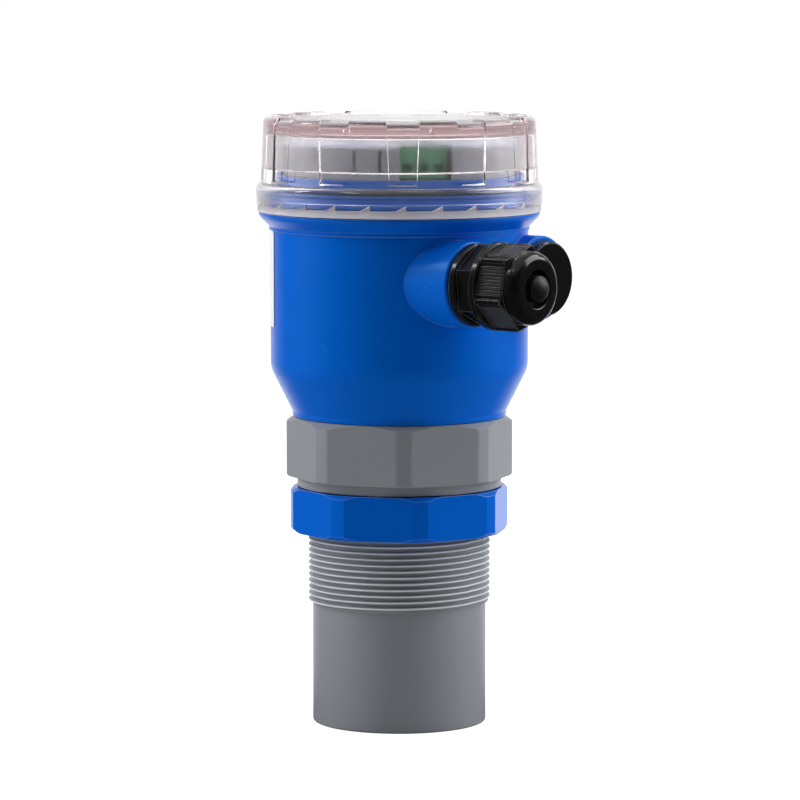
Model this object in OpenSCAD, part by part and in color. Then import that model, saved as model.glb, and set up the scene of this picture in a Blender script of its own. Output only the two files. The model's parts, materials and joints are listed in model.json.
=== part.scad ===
// Ultrasonic level sensor: a threaded sensing tube below, a housing with a clear
// screw cap above, a lock nut on the thread and two cable entries on one side.
// Millimetres. The origin is the centre of the sensing face, +Z points up,
// and both cable entries point along +X.

/* [Sensing tube] */
// Diameter over the mounting thread
thread_d = 59.5; // [50:0.5:70]
// Pitch of the mounting thread
thread_pitch = 2; // [1.5:0.25:3]
// Depth of the mounting thread
thread_depth = 1.2; // [0.6:0.1:1.6]
// Turns of thread left free below the lock nut
thread_turns = 11; // [6:1:16]
// How far the crests behind the lock nut are cut back
crest_relief = 0.35; // [0.3:0.05:0.6]
// Step from the thread crest in to the plain tube
tube_step = 1.45; // [1.3:0.05:3]
// Height of the plain tube below the thread
tube_h = 39.2; // [20:0.2:60]
// Wall of the tube at its plain end
tube_wall = 3.2; // [2:0.1:5]
// Rounding of the tube's lower edge
tube_edge = 0.8; // [0.3:0.1:1.5]

/* [Collar and octagon] */
// How far the collar stands out past the thread
collar_out = 3.55; // [2:0.05:6]
// Height of the collar
collar_h = 3.2; // [1:0.1:6]
// How far the octagon's flats stand out past the collar
octagon_out = 1.6; // [1:0.1:4]
// Height of the octagon
octagon_h = 19.5; // [12:0.5:30]
// How far the turned corners stand out past the flats
corner_out = 1.95; // [1:0.05:2.5]
// Turn of the octagon about the axis, in degrees
octagon_turn = -2.7; // [-22.5:0.1:22.5]

/* [Lock nut] */
// Height of the lock nut
nut_h = 14.5; // [8:0.5:20]
// Wall of the lock nut at its flats, from the thread outwards
nut_wall = 4.15; // [3:0.05:8]
// Turn of the lock nut about the axis, in degrees
nut_turn = 6.1; // [-22.5:0.1:22.5]
// Plain run between the last free turn and the lock nut
nut_run = 1.8; // [0.8:0.1:3]

/* [Housing] */
// Diameter of the housing's body
body_d = 83.8; // [80:0.2:96]
// Height of the housing from its seat to the top of its flange
body_h = 66.5; // [60:0.5:90]
// Wall of the housing
body_wall = 3.5; // [2:0.1:4.5]
// Thickness of the housing's floor
floor_t = 3.5; // [2:0.1:5]
// Height of the straight neck below the cone
neck_h = 1.8; // [1:0.1:4]
// Outward run of the cone for each unit of height
cone_slope = 0.5; // [0.35:0.05:0.8]
// Radius that blends the cone into the body
cone_blend = 10; // [4:0.5:14]
// How far the flange stands out past the body
flange_out = 3.7; // [2.5:0.1:5]
// Height of the flange's upright edge
flange_edge = 0.8; // [0.8:0.1:2.5]
// Height of the mouth above the flange
mouth_h = 12; // [10:0.5:15]

/* [Cable entries] */
// Distance of each entry from the middle plane
entry_y = 17.5; // [15.5:0.1:20]
// Height of the entries above the housing's seat
entry_z = 45.9; // [40:0.1:48]
// How far the entry faces stand out past the body
entry_out = 3.2; // [2.5:0.1:14]
// Diameter of each entry boss
boss_d = 27.4; // [25:0.2:29]
// Diameter of the entry thread
entry_d = 20; // [16:0.5:21]
// Length of the entry thread
entry_len = 10.5; // [8:0.5:12]

/* [Clear cap] */
// Height of the cap
cap_h = 30.7; // [28:0.1:40]
// How far the skirt stands out past the flange
skirt_out = 0.9; // [0.5:0.1:2]
// Height of the skirt
skirt_h = 9; // [8:0.1:10]
// Inward draft of the wall from its foot to the top
cap_draft = 0.8; // [0:0.1:2]
// Thickness of the top plate
plate_t = 5; // [3:0.1:6]
// Rounding of the top edge
cap_round = 2.2; // [1:0.1:3.5]
// How far each grip land stands proud
land_h = 0.8; // [0.4:0.1:1.2]
// Number of grip lands
lands = 12; // [6:1:18]
// Share of the pitch that the gap between two lands takes
gap_share = 0.44; // [0.3:0.01:0.6]
// Turn of the first gap about the axis, in degrees
land_turn = 11.5; // [0:0.5:60]
// Number of saw teeth inside the skirt
teeth = 24; // [12:1:36]
// Height of the saw teeth
tooth_h = 1.4; // [0.8:0.1:1.8]
// Length of a tooth's ramp
tooth_ramp = 3.4; // [2:0.1:6]
// Turn of the first tooth about the axis, in degrees
tooth_turn = 12.8; // [0:0.1:30]

/* [Display] */
// Room between the display frame and the housing's mouth
frame_room = 0.8; // [0.4:0.1:1.2]
// Wall of the display frame
frame_wall = 2; // [1.5:0.1:2.5]
// Thickness of the display's face plate
face_t = 2.2; // [1.5:0.1:3]
// Direction that the terminal block faces, in degrees
terminal_turn = -37; // [-180:1:180]
// Room between the display and the pillars beside it
window_room = 1.5; // [0.5:0.1:6]
// Height of the display window
window_h = 19; // [12:0.5:20]
// Room between the outer keys and the pillars beside them
key_gap = 2.1; // [0.5:0.1:3]
// Diameter of a key
key_d = 6.8; // [5:0.1:7]
// Travel of a key
key_travel = 0.5; // [0.3:0.05:0.6]
// Number of terminal poles
poles = 3; // [2:1:4]
// Distance between two poles
pole_pitch = 5.08; // [3.5:0.01:5.08]

/* [Boards] */
// Thickness of the circuit boards
board_t = 1.6; // [1:0.1:2]
// Room between the main board and the ledge above it
board_room = 1.5; // [0.6:0.1:1.8]
// Distance between the display board and the main board
board_gap = 20; // [16:0.5:26]
// Distance of the pillars from the main board's edge
pillar_in = 3.4; // [3.2:0.1:4]
// Angle of the pillars from the line across the display, in degrees
pillar_angle = 33; // [30:1:36]
// Width of a pillar across its flats
pillar_af = 5.5; // [4:0.1:6]

/* [Sensing element] */
// Thickness of the matching layer
layer_t = 5; // [3:0.5:8]
// Room left round the piezo disc for the temperature probe
piezo_in = 6; // [5:0.5:12]
// Thickness of the piezo disc
piezo_t = 8; // [4:0.5:12]
// Height of the foam behind the matching layer
foam_h = 15; // [14:0.5:20]
// Height of the potting above the foam
potting_h = 50; // [30:1:60]
// Diameter of the temperature probe
probe_d = 3.6; // [2:0.1:3.8]
// Diameter of a lead
lead_d = 2.2; // [1:0.1:3]

/* [Gland and plug] */
// Diameter of the gland's round flange
gland_flange_d = 26.4; // [24:0.2:27]
// Thickness of the gland's round flange
gland_flange_t = 2; // [1:0.1:3]
// Width of the gland's hexagon across its flats
gland_af = 22.4; // [21:0.2:23]
// Length of the gland's hexagon
gland_hex_h = 5.8; // [4:0.1:8]
// Turn of the gland's hexagon about its axis, in degrees
gland_hex_turn = 5; // [-30:1:30]
// Diameter of the gland nut's base flange
gland_nut_d = 28; // [27:0.1:29]
// Length of the gland nut's grip
grip_h = 9.5; // [7:0.5:14]
// Turn of the gland nut's grip about its axis, in degrees
grip_turn = -13; // [-30:1:30]
// Fine ribs on each side of the grip
grip_ribs = 9; // [5:1:11]
// Length of the gland nut's dome
dome_h = 5; // [4.5:0.1:9]
// Diameter of the hole in the dome
dome_hole_d = 12; // [11:0.1:13]
// Diameter of the stopper
stopper_d = 8.4; // [6:0.1:9.6]
// Diameter of the plug's head
plug_d = 23.8; // [23:0.1:26]
// Thickness of the plug's head
plug_t = 2.8; // [2:0.1:5]
// Thickness of the entry seals
seal_t = 0.8; // [0.4:0.1:1.5]

/* [Label] */
// Angle that the label takes up round the back of the body
label_angle = 111.8; // [40:0.2:140]
// Height of the label
label_h = 31; // [15:0.5:31]
// Thickness of the label
label_t = 0.2; // [0.1:0.05:0.4]

/* [Fits] */
// Clearance of a thread or a turned fit, on the radius
run_fit = 0.1; // [0.05:0.01:0.1]
// Gap left between two faces that turn against each other
face_gap = 0.3; // [0.2:0.05:0.4]
// Room round a piece that drops into place
drop_fit = 0.2; // [0.1:0.05:0.3]

/* [Hidden] */
$fn = 96;
// How far a cut runs past the face that it opens
over = 1;

blue = [0.0, 0.33, 0.75];
grey = [0.45, 0.46, 0.47];
black = [0.06, 0.06, 0.07];
rubber = [0.1, 0.1, 0.11];
board_green = [0.05, 0.3, 0.15];
steel = [0.75, 0.76, 0.78];

// Tube, thread and collar
thread_r = thread_d / 2;
root_r = thread_r - thread_depth;
tube_r = thread_r - tube_step;
bore_r = tube_r - tube_wall;
collar_r = thread_r + collar_out;
flat_r = collar_r + octagon_out;
octagon_foot_cut = 0.5;
octagon_top_cut = 1.75;
octagon_top_in = 2.4;

// Heights from the sensing face upwards
thread_z = tube_h;
nut_z = thread_z + thread_turns * thread_pitch + nut_run;
collar_z = nut_z + nut_h + face_gap;
octagon_z = collar_z + collar_h;
seat_z = octagon_z + octagon_h;
flange_z = seat_z + body_h;
mouth_z = flange_z + mouth_h;
cap_z = flange_z + face_gap;
top_z = cap_z + cap_h;
hidden_turns = floor((nut_h + nut_run) / thread_pitch);

// Lock nut
nut_flat_r = thread_r + nut_wall;
nut_corner_out = 1.85;
nut_cut = 1.2;

// Spigot, retaining ring and neck seal
spigot_wall = 2.4;
spigot_r = bore_r + spigot_wall;
ring_t = 5;
spigot_over = 2;
spigot_h = floor_t + ring_t + spigot_over;
ring_out = 4;
ring_slots = 4;
ring_slot_w = 6;
ring_slot_t = 2.5;
seal_r = 0.95;
seal_path_r = (spigot_r + flat_r) / 2;

// Housing
neck_r = flat_r;
neck_edge = 0.9;
body_r = body_d / 2;
cavity_r = body_r - body_wall;
cone_angle = atan(cone_slope);
corner_z = seat_z + neck_h + (body_r - neck_r) / cone_slope;
flange_r = body_r + flange_out;
lip_out = 0.4;
lip_h = 1.2;
lip_z = flange_z - flange_edge - flange_out - lip_h;
glue_t = 0.05;
flange_round = 0.6;
mouth_wall = 2.2;
lip_r = cavity_r + mouth_wall;
neck_thread_r = flange_r - mouth_wall;
neck_thread_h = 7.3;
neck_relief = 0.7;
neck_ridge_w = 0.6;
neck_root_r = neck_thread_r - neck_relief;
neck_pitch = 3;
neck_top_z = flange_z + neck_thread_h;
neck_ridge_z = neck_top_z - neck_pitch - neck_ridge_w - neck_relief;
tooth_room_h = 3.6;
ledge_in = 2.4;
ledge_t = 2;
ledge_rise = 5;
ledge_z = flange_z + ledge_rise;
boss_rim = 0.7;
face_ring_t = 0.4;
face_ring_w = 1.6;
face_ring_r = boss_d / 2 - face_ring_w;
entry_r = entry_d / 2;
entry_x = body_r + entry_out;

// Clear cap
skirt_r = flange_r + skirt_out;
skirt_foot_in = 0.5;
skirt_foot_h = 2.4;
cap_thread_r = neck_thread_r + run_fit;
tooth_r = neck_thread_r + face_gap;
tooth_t = 0.8;
tooth_band_h = 2.3;
cap_seal_r = 1;
shoulder_z = neck_top_z + 2 * run_fit + 2 * cap_seal_r;
cap_seal_path_r = (lip_r + 2 * face_gap + neck_thread_r) / 2;
shoulder_in = 1.4;
shoulder_round = 1.7;
wall_foot_r = skirt_r - shoulder_in;
wall_top_r = wall_foot_r - cap_draft;
wall_foot_z = cap_z + skirt_h;
cap_room = 1;
cap_in_r = lip_r + cap_room;
cap_step = 0.8;
cap_step_rise = 2.4;
cap_step_z = mouth_z + cap_step_rise;
plate_z = top_z - land_h - plate_t;
gap_rise = 1.2;
gap_foot_z = wall_foot_z + gap_rise;
gap_narrowing = 0.84;
land_in = 8;

// Display frame and what it carries
frame_r = cavity_r - frame_room;
plate_room = 1.7;
frame_top_z = plate_z - plate_room;
face_z = frame_top_z - face_t;
board_r = frame_r - frame_wall - drop_fit;
board_drop = 1;
board_z = mouth_z - board_drop;
board_top_z = board_z + board_t;
tab_slit = 1;
tab_angle = 12.5;
tab_turn = -65.5;
tabs = 3;
tab_slit_h = 8;
notch_room = 0.8;
main_board_r = cavity_r - ledge_in - board_room;
pillar_path_r = main_board_r - pillar_in;
pillar_x = pillar_path_r * cos(pillar_angle);
pillar_y = pillar_path_r * sin(pillar_angle);
pillar_boss_d = 6.4;
terminal_w = poles * pole_pitch;
terminal_depth = 9.6;
terminal_in = 2.6;
terminal_out = board_r - terminal_in;
terminal_sink = 0.5;
terminal_h = frame_top_z - board_top_z - terminal_sink;
terminal_screw_d = 3.4;
terminal_head_t = 2.6;
terminal_head_sink = 2.6;
terminal_mouth = 3.2;
terminal_mouth_z = 1.5;
terminal_head_z = board_top_z + terminal_h - terminal_head_sink - terminal_head_t;
keys = 4;
key_room = 0.3;
key_flange_out = 0.9;
key_flange_r = key_d / 2 + key_flange_out;
key_pitch = (pillar_x - pillar_boss_d / 2 - key_gap - key_flange_r) / ((keys - 1) / 2);
key_row_gap = 4.6;
key_y = terminal_depth - terminal_out + notch_room + key_row_gap + key_flange_r;
window_gap = 3.3;
lcd_margin = 1.4;
window_w = 2 * (pillar_x - pillar_boss_d / 2 - window_room - lcd_margin);
window_y = key_y + key_flange_r + window_gap + lcd_margin + window_h / 2;
lcd_t = 2.6;
key_flange_t = 1.2;
key_proud = 0.7;
key_stem_d = 3;
switch_w = 6;
switch_h = 3;
switch_button_d = 3.2;
main_board_z = board_z - board_gap - board_t;
screw_d = 2.6;
screw_head_d = 5;
screw_head_t = 1.8;
screw_slot = 0.8;
screw_bite = 6;
transformer_size = [14, 12, 11];
transformer_at = [-12, 8];
transformer_bobbin = 2;
capacitor_d = 10;
capacitor_h = 12;
capacitor_at = [16, 4];
capacitor_pitch = 12;
lead_at = [3, -18];

// Sensing element
piezo_z = layer_t;
potting_z = piezo_z + foam_h;
potting_top_z = potting_z + potting_h;
element_r = bore_r - run_fit;
piezo_r = element_r - piezo_in;
probe_r = probe_d / 2;
probe_path_r = (piezo_r + element_r) / 2;
probe_h = 12;

// Gland and plug, measured from the entry's face
gland_thread_d = 19.2;
gland_thread_r = gland_thread_d / 2;
gland_bore_r = 7.8;
gland_hex_z = seal_t + gland_flange_t;
gland_neck_z = gland_hex_z + gland_hex_h;
gland_nut_z = gland_neck_z + face_gap;
gland_base_t = 2.8;
grip_z = gland_nut_z + gland_base_t;
dome_z = grip_z + grip_h;
dome_top_z = dome_z + dome_h;
claw_drop = 3;
gland_neck_h = gland_base_t + grip_h - claw_drop;
claw_h = 3.4;
claw_t = 1.4;
claws = 8;
claw_slot = 1.2;
insert_rise = 5;
insert_z = gland_hex_z + insert_rise;
insert_wall_in = 1;
insert_over = 1.4;
insert_top_z = dome_z + insert_over;
grip_r = 11.8;
bar_d = 2;
bar_out = 0.3;
bar_path_r = grip_r / cos(30) + bar_out - bar_d / 2;
rib_w = 0.5;
rib_out = 0.4;
dome_r = 11.7;
dome_round = 3.2;
dome_wall = 2;
dome_lip = 0.6;
stopper_r = stopper_d / 2;
stopper_len = 13.8;
stopper_dome = 2.2;
stopper_out = 2.9;
plug_wall = 2.4;
edge_cut = 0.5;

// Points of an arc about a centre, from one angle to another
function arc(centre, r, from, to, steps = 6) = [
    for (i = [0:steps])
        let (a = from + (to - from) * i / steps)
        centre + r * [cos(a), sin(a)]
];

// Half section of a ridged thread, from its foot upwards
function ridges(foot, turns, crest, root) = [
    for (i = [0:turns - 1])
        let (z = foot + i * thread_pitch)
        each [
            [root, z],
            [crest, z + thread_pitch / 4],
            [crest, z + thread_pitch / 2],
            [root, z + thread_pitch * 3 / 4]
        ]
];

// A point of the cap's outer wall at a given inset from the lands
function wall_point(z, inset) = [
    wall_foot_r - inset - cap_draft * (z - wall_foot_z) / (top_z - wall_foot_z),
    z
];

// Octagon with its corners and edges turned down
module turned_octagon(flat, out, h, top_in, top_cut, foot_cut) {
    corner = flat + out;
    intersection() {
        linear_extrude(h) circle(r = flat / cos(22.5), $fn = 8);
        rotate_extrude() polygon([
            [0, 0],
            [corner - foot_cut, 0],
            [corner, foot_cut],
            [corner, h - top_cut],
            [corner - top_in, h],
            [0, h]
        ]);
    }
}

// Ring of round section about the Z axis
module o_ring(path_r, section_r, z) {
    translate([0, 0, z])
        rotate_extrude()
            translate([path_r, 0])
                circle(r = section_r, $fn = 32);
}

// Places a piece drawn along +Z on the cable entry at one side
module at_entry(side) {
    translate([entry_x, side * entry_y, seat_z + entry_z])
        rotate([0, 90, 0])
            children();
}

// Places a piece drawn on the display, with the terminal block at its foot
module on_display(z) {
    translate([0, 0, z])
        rotate([0, 0, terminal_turn + 90])
            children();
}

// The four pillar places on the display
module at_pillars(z) {
    for (sx = [-1, 1], sy = [-1, 1])
        on_display(z)
            translate([sx * pillar_x, sy * pillar_y, 0])
                children();
}

// One of the four key places, counted from the left
module at_key(i, z) {
    on_display(z)
        translate([(i - (keys - 1) / 2) * key_pitch, key_y, 0])
            children();
}

// One of the terminal poles
module at_poles(z) {
    for (i = [0:poles - 1])
        on_display(z)
            translate([(i - (poles - 1) / 2) * pole_pitch, terminal_depth / 2 - terminal_out, 0])
                children();
}

module transducer_body() {
    color(grey)
    difference() {
        union() {
            rotate_extrude() polygon(concat(
                [[0, 0], [tube_r - tube_edge, 0]],
                arc([tube_r - tube_edge, tube_edge], tube_edge, -90, 0, 4),
                [[tube_r, thread_z]],
                ridges(thread_z, thread_turns, thread_r, root_r),
                ridges(
                    thread_z + thread_turns * thread_pitch, hidden_turns,
                    thread_r - crest_relief, root_r
                ),
                [
                    [root_r, collar_z],
                    [collar_r, collar_z],
                    [collar_r, octagon_z],
                    [spigot_r, octagon_z],
                    [spigot_r, seat_z + spigot_h],
                    [0, seat_z + spigot_h]
                ]
            ));
            translate([0, 0, octagon_z])
                rotate([0, 0, octagon_turn])
                    turned_octagon(
                        flat_r, corner_out, octagon_h,
                        octagon_top_in, octagon_top_cut, octagon_foot_cut
                    );
        }
        translate([0, 0, -over])
            cylinder(r = bore_r, h = seat_z + spigot_h + 2 * over);
        translate([0, 0, seat_z - 2 * seal_r])
            difference() {
                cylinder(r = seal_path_r + seal_r + drop_fit, h = 2 * seal_r + over);
                translate([0, 0, -over])
                    cylinder(r = seal_path_r - seal_r - drop_fit, h = 2 * seal_r + 3 * over);
            }
    }
}

module lock_nut() {
    color(blue)
    translate([0, 0, nut_z])
        difference() {
            rotate([0, 0, nut_turn])
                turned_octagon(nut_flat_r, nut_corner_out, nut_h, nut_cut, nut_cut, nut_cut);
            translate([0, 0, -over])
                cylinder(r = thread_r + run_fit, h = nut_h + 2 * over);
        }
}

module matching_layer() {
    color([0.35, 0.36, 0.36])
    cylinder(r = element_r, h = layer_t);
}

module piezo_disc() {
    color([0.8, 0.76, 0.66])
    translate([0, 0, piezo_z])
        cylinder(r = piezo_r, h = piezo_t);
}

module backing_foam() {
    color([0.2, 0.2, 0.2])
    translate([0, 0, piezo_z])
        difference() {
            cylinder(r = element_r, h = foam_h);
            translate([0, 0, -over])
                cylinder(r = piezo_r + run_fit, h = piezo_t + over);
            translate([probe_path_r, 0, -over])
                cylinder(r = probe_r + run_fit, h = foam_h + 2 * over);
        }
}

module temperature_probe() {
    color(steel)
    translate([probe_path_r, 0, piezo_z])
        rotate_extrude() polygon(concat(
            [[0, 0], [probe_r, 0]],
            arc([0, probe_h - probe_r], probe_r, 0, 90)
        ));
}

module potting() {
    color([0.12, 0.12, 0.13])
    translate([0, 0, potting_z])
        cylinder(r = element_r, h = potting_h);
}

module transducer_leads() {
    color([0.7, 0.1, 0.1])
    for (side = [-1, 1])
        translate([side * lead_at.x, lead_at.y, potting_top_z])
            cylinder(d = lead_d, h = main_board_z - potting_top_z);
}

module neck_seal() {
    color(rubber) o_ring(seal_path_r, seal_r, seat_z - seal_r);
}

module retaining_ring() {
    color(grey)
    translate([0, 0, seat_z + floor_t])
        difference() {
            cylinder(r = spigot_r + ring_out, h = ring_t);
            translate([0, 0, -over])
                cylinder(r = spigot_r + run_fit, h = ring_t + 2 * over);
            for (i = [0:ring_slots - 1])
                rotate([0, 0, i * 360 / ring_slots])
                    translate([spigot_r + ring_out / 2, -ring_slot_w / 2, ring_t - ring_slot_t])
                        cube([ring_out, ring_slot_w, ring_slot_t + over]);
        }
}

// Solid of revolution with the housing's outer form
module housing_outside() {
    rotate_extrude() polygon(concat(
        [[0, seat_z], [neck_r - neck_edge, seat_z]],
        arc([neck_r - neck_edge, seat_z + neck_edge], neck_edge, -90, 0, 4),
        [[neck_r, seat_z + neck_h]],
        arc(
            [body_r - cone_blend, corner_z + cone_blend * tan(cone_angle / 2)],
            cone_blend, -cone_angle, 0
        ),
        [
            [body_r, lip_z],
            [body_r + lip_out, lip_z],
            [body_r + lip_out, lip_z + lip_h],
            [flange_r - flange_round, flange_z - flange_edge - flange_round - lip_out],
            [flange_r, flange_z - flange_edge],
            [flange_r, flange_z],
            [neck_root_r, flange_z],
            [neck_root_r, neck_ridge_z],
            [neck_thread_r, neck_ridge_z + neck_relief],
            [neck_thread_r, neck_ridge_z + neck_relief + neck_ridge_w],
            [neck_root_r, neck_ridge_z + 2 * neck_relief + neck_ridge_w],
            [neck_root_r, neck_top_z - neck_ridge_w - neck_relief],
            [neck_thread_r, neck_top_z - neck_ridge_w],
            [neck_thread_r, neck_top_z],
            [lip_r, neck_top_z],
            [lip_r, mouth_z],
            [0, mouth_z]
        ]
    ));
}

// Hollow of the housing, with the ledge that the display frame stands on
module housing_inside() {
    foot_r = neck_r - body_wall;
    blend_z = corner_z + cone_blend * tan(cone_angle / 2);
    rotate_extrude() polygon([
        [0, seat_z + floor_t],
        [foot_r + cone_slope * (floor_t - neck_h), seat_z + floor_t],
        [cavity_r - cone_slope, corner_z],
        [cavity_r, blend_z],
        [cavity_r, ledge_z - ledge_t - ledge_in],
        [cavity_r - ledge_in, ledge_z - ledge_t],
        [cavity_r - ledge_in, ledge_z],
        [cavity_r, ledge_z],
        [cavity_r, mouth_z + over],
        [0, mouth_z + over]
    ]);
}

module entry_boss() {
    depth = entry_x - cavity_r / 2;
    translate([0, 0, -depth])
        rotate_extrude() polygon(concat(
            [[0, 0], [boss_d / 2, 0]],
            arc([boss_d / 2 - boss_rim, depth - boss_rim], boss_rim, 0, 90, 4),
            [
                [face_ring_r, depth],
                [face_ring_r, depth - face_ring_t],
                [0, depth - face_ring_t]
            ]
        ));
}

module housing() {
    color(blue)
    difference() {
        union() {
            housing_outside();
            for (side = [-1, 1])
                at_entry(side) entry_boss();
        }
        housing_inside();
        translate([0, 0, seat_z - over])
            cylinder(r = spigot_r + run_fit, h = floor_t + 2 * over);
        for (side = [-1, 1])
            at_entry(side)
                translate([0, 0, -entry_x + cavity_r / 2])
                    cylinder(r = entry_r, h = entry_x);
    }
}

module rating_label() {
    color([0.95, 0.95, 0.95])
    rotate([0, 0, 180 - label_angle / 2])
        rotate_extrude(angle = label_angle)
            translate([body_r + glue_t, lip_z - run_fit - label_h])
                square([label_t, label_h]);
}

// Solid of revolution with the cap's outer form, at the lands or inset to the gaps
module cap_outside(inset) {
    top = top_z - inset;
    edge = wall_point(top - cap_round, inset);
    rotate_extrude() polygon(concat(
        [
            [0, cap_z],
            [skirt_r - skirt_foot_in, cap_z],
            [skirt_r - skirt_foot_in, cap_z + skirt_foot_h - skirt_foot_in],
            [skirt_r, cap_z + skirt_foot_h]
        ],
        arc(
            [skirt_r - shoulder_round, wall_foot_z - shoulder_round],
            shoulder_round, 0, acos(1 - shoulder_in / shoulder_round)
        ),
        [wall_point(wall_foot_z, 0), wall_point(gap_foot_z, 0), wall_point(gap_foot_z, inset)],
        arc([edge.x - cap_round, edge.y], cap_round, 0, 90),
        [[0, top]]
    ));
}

// Wedges that the gaps between the grip lands are cut with
module gap_wedges() {
    half_w = wall_foot_r * tan(gap_share * 180 / lands);
    for (i = [0:lands - 1])
        rotate([0, 0, land_turn + i * 360 / lands])
            translate([wall_top_r - land_in, 0, 0])
                rotate([90, 0, 90])
                    linear_extrude(skirt_r)
                        polygon([
                            [-half_w * gap_narrowing, gap_foot_z],
                            [half_w * gap_narrowing, gap_foot_z],
                            [half_w, top_z + over],
                            [-half_w, top_z + over]
                        ]);
}

module cap_inside() {
    rotate_extrude() polygon([
        [0, cap_z - over],
        [tooth_r, cap_z - over],
        [tooth_r, cap_z + tooth_band_h],
        [tooth_r + tooth_t, cap_z + tooth_band_h],
        [tooth_r + tooth_t, cap_z + tooth_room_h + tooth_t],
        [cap_thread_r, cap_z + tooth_room_h + tooth_t],
        [cap_thread_r, shoulder_z],
        [cap_in_r, shoulder_z],
        [cap_in_r, cap_step_z],
        [cap_in_r - cap_step, cap_step_z],
        [cap_in_r - cap_step, plate_z],
        [0, plate_z]
    ]);
}

module saw_teeth() {
    for (i = [0:teeth - 1])
        rotate([0, 0, tooth_turn + i * 360 / teeth])
            translate([tooth_r, 0, cap_z + tooth_band_h])
                rotate([90, 0, 90])
                    linear_extrude(tooth_t + run_fit)
                        polygon([[-tooth_ramp, -run_fit], [0, -run_fit], [0, tooth_h]]);
}

module clear_cap() {
    color([0.9, 0.9, 0.92, 0.45])
    union() {
        difference() {
            cap_outside(0);
            difference() {
                gap_wedges();
                cap_outside(land_h);
            }
            translate([0, 0, top_z - land_h])
                cylinder(r = wall_top_r - land_in, h = land_h + over);
            cap_inside();
        }
        saw_teeth();
    }
}

module cap_seal() {
    color(rubber)
    o_ring(cap_seal_path_r, cap_seal_r, shoulder_z - cap_seal_r - run_fit);
}

module display_frame() {
    wall_h = frame_top_z - ledge_z;
    color(grey)
    difference() {
        union() {
            difference() {
                translate([0, 0, ledge_z])
                    rotate_extrude() polygon([
                        [0, 0],
                        [frame_r, 0],
                        [frame_r, wall_h - edge_cut],
                        [frame_r - edge_cut, wall_h],
                        [0, wall_h]
                    ]);
                translate([0, 0, ledge_z - over])
                    cylinder(r = frame_r - frame_wall, h = face_z - ledge_z + over);
            }
            at_pillars(board_top_z)
                cylinder(d = pillar_boss_d, h = face_z - board_top_z);
        }
        on_display(face_z)
            translate([-window_w / 2, window_y - window_h / 2, -over])
                cube([window_w, window_h, face_t + 2 * over]);
        for (i = [0:keys - 1])
            at_key(i, face_z - over)
                cylinder(d = key_d + 2 * key_room, h = face_t + 2 * over);
        on_display(board_z)
            translate([-terminal_w / 2 - notch_room, -frame_r - over, 0])
                cube([
                    terminal_w + 2 * notch_room,
                    frame_r + over - terminal_out + terminal_depth + notch_room,
                    frame_top_z - board_z + over
                ]);
        for (i = [0:tabs - 1], side = [-1, 1])
            rotate([0, 0, tab_turn + i * 360 / tabs + side * tab_angle / 2])
                translate([frame_r - 2 * frame_wall, -tab_slit / 2, face_z - tab_slit_h])
                    cube([3 * frame_wall, tab_slit, tab_slit_h]);
    }
}

module display_board() {
    color(board_green)
    translate([0, 0, board_z])
        cylinder(r = board_r, h = board_t);
}

module lcd_backlight() {
    w = window_w + 2 * lcd_margin;
    h = window_h + 2 * lcd_margin;
    color([0.9, 0.92, 0.9])
    on_display(board_top_z)
        translate([-w / 2, window_y - h / 2, 0])
            cube([w, h, face_z - drop_fit - lcd_t - board_top_z]);
}

module lcd_glass() {
    w = window_w + 2 * lcd_margin;
    h = window_h + 2 * lcd_margin;
    color([0.6, 0.68, 0.55])
    on_display(face_z - drop_fit - lcd_t)
        translate([-w / 2, window_y - h / 2, 0])
            cube([w, h, lcd_t]);
}

module tact_switches() {
    color(black)
    for (i = [0:keys - 1]) {
        at_key(i, board_top_z)
            translate([-switch_w / 2, -switch_w / 2, 0])
                cube([switch_w, switch_w, switch_h]);
        at_key(i, board_top_z + switch_h)
            cylinder(d = switch_button_d, h = drop_fit);
    }
}

// Key with a flange below the face plate and a stem down to its switch
module key(i) {
    foot_z = board_top_z + switch_h + drop_fit + key_travel + face_gap;
    flange_top_z = face_z - face_gap;
    key_top_z = frame_top_z + key_proud;
    at_key(i, 0)
        rotate_extrude() polygon([
            [0, foot_z],
            [key_stem_d / 2, foot_z],
            [key_stem_d / 2, flange_top_z - key_flange_t],
            [key_flange_r, flange_top_z - key_flange_t],
            [key_flange_r, flange_top_z],
            [key_d / 2, flange_top_z],
            [key_d / 2, key_top_z - edge_cut],
            [key_d / 2 - edge_cut, key_top_z],
            [0, key_top_z]
        ]);
}

module set_key() {
    color([0.2, 0.22, 0.25]) key(0);
}

module down_key() {
    color([0.2, 0.22, 0.25]) key(1);
}

module up_key() {
    color([0.2, 0.22, 0.25]) key(2);
}

module enter_key() {
    color([0.2, 0.22, 0.25]) key(3);
}

module terminal_block() {
    color([0.12, 0.5, 0.28])
    difference() {
        on_display(board_top_z)
            translate([-terminal_w / 2, -terminal_out, 0])
                cube([terminal_w, terminal_depth, terminal_h]);
        at_poles(terminal_head_z)
            cylinder(d = terminal_screw_d + 2 * run_fit, h = terminal_h);
        at_poles(board_top_z + terminal_mouth_z)
            translate([-terminal_mouth / 2, -terminal_depth, 0])
                cube([terminal_mouth, terminal_depth, terminal_mouth]);
    }
}

module terminal_screws() {
    color(steel)
    at_poles(terminal_head_z)
        difference() {
            cylinder(d = terminal_screw_d, h = terminal_head_t);
            translate([-terminal_screw_d, -screw_slot / 2, terminal_head_t - screw_slot])
                cube([2 * terminal_screw_d, screw_slot, 2 * screw_slot]);
        }
}

module board_pillars() {
    color([0.8, 0.65, 0.3])
    at_pillars(main_board_z + board_t)
        difference() {
            cylinder(r = pillar_af / 2 / cos(30), h = board_gap, $fn = 6);
            translate([0, 0, -over])
                cylinder(d = screw_d + 2 * run_fit, h = screw_bite + 2 * over);
        }
}

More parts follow.
